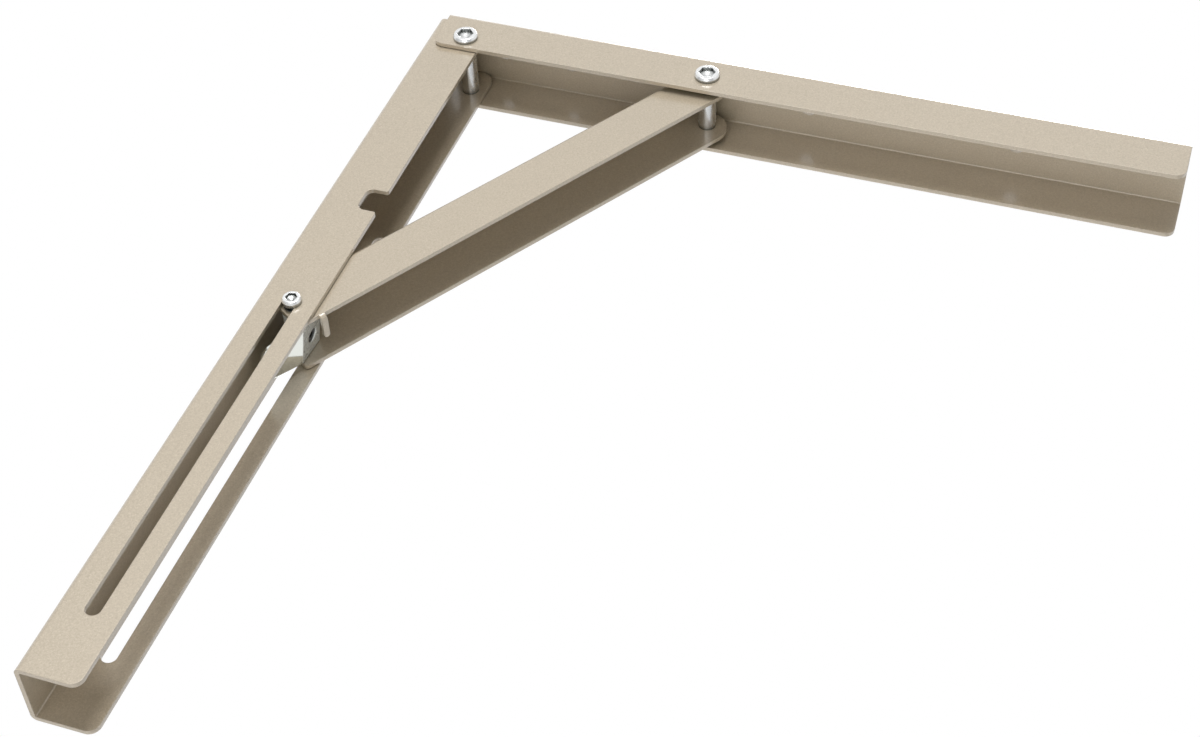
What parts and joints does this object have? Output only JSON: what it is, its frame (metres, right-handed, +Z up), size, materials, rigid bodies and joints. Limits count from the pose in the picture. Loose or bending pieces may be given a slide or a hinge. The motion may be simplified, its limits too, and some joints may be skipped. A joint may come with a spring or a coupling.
{
  "type": "folding shelf bracket",
  "caption": "Folding shelf bracket: a wall channel and a shelf channel hinged at a right angle, propped by a slotted channel strut with a release lever in its foot.",
  "frame": {"origin": "on the plane of the wall, level with the hinge axis, in the middle of the bracket's width", "axes": "+X out from the wall along the shelf arm, +Y to the right of a person who faces the wall, +Z up"},
  "size_m": [0.3078, 0.0348, 0.352],
  "materials": {
    "bronze_paint": "fine metallic",
    "bright_zinc": "bright plated",
    "steel": "bright",
    "washer_plastic": "matte",
    "lever_plate": "satin plated casting",
    "grub_steel": "dark",
    "spring_steel": "dark oiled"
  },
  "bodies": {
    "wall": {"wall_arm": "bronze_paint", "hinge_barrel": "bright_zinc", "hinge_screw_left": "bright_zinc", "hinge_screw_right": "bright_zinc", "hinge_washer_left": "washer_plastic", "hinge_washer_right": "washer_plastic"},
    "shelf": {"shelf_arm": "bronze_paint", "pivot_barrel": "bright_zinc", "pivot_screw_left": "bright_zinc", "pivot_screw_right": "bright_zinc", "pivot_spacer_left": "steel", "pivot_spacer_right": "steel"},
    "strut": {"strut": "bronze_paint", "foot_pin": "steel", "foot_washer_left": "steel", "foot_washer_right": "steel"},
    "guide": {"guide_screw_left": "bright_zinc", "guide_screw_right": "bright_zinc"},
    "lever": {"release_lever": "lever_plate", "lever_grub_screw": "grub_steel", "lever_spring": "spring_steel"}
  },
  "joints": [
    {"name": "shelf_fold", "type": "hinge", "parent": "wall", "child": "shelf", "pos_m": [0.0164, 0, 0], "axis": [0, 1, 0], "range_deg": [0, 90]},
    {"name": "strut_fold", "type": "hinge", "parent": "shelf", "child": "strut", "pos_m": [0.1189, 0, 0.0028], "axis": [0, -1, 0], "range_deg": [0, 120.8]},
    {"name": "guide_slide", "type": "slide", "parent": "wall", "child": "guide", "axis": [0, 0, -1], "range_m": [0, 0.136]},
    {"name": "lever_press", "type": "hinge", "parent": "strut", "child": "lever", "pos_m": [0.0134, 0, -0.163], "axis": [0, 1, 0], "range_deg": [0, 8], "stiffness_Nm_per_rad": 0.3, "springref_deg": -2.86}
  ],
  "couplings": [
    {"joint": "strut_fold", "follows": "shelf_fold", "ratio": 1.342},
    {"joint": "guide_slide", "follows": "shelf_fold", "m_per_rad": 0.086538}
  ]
}
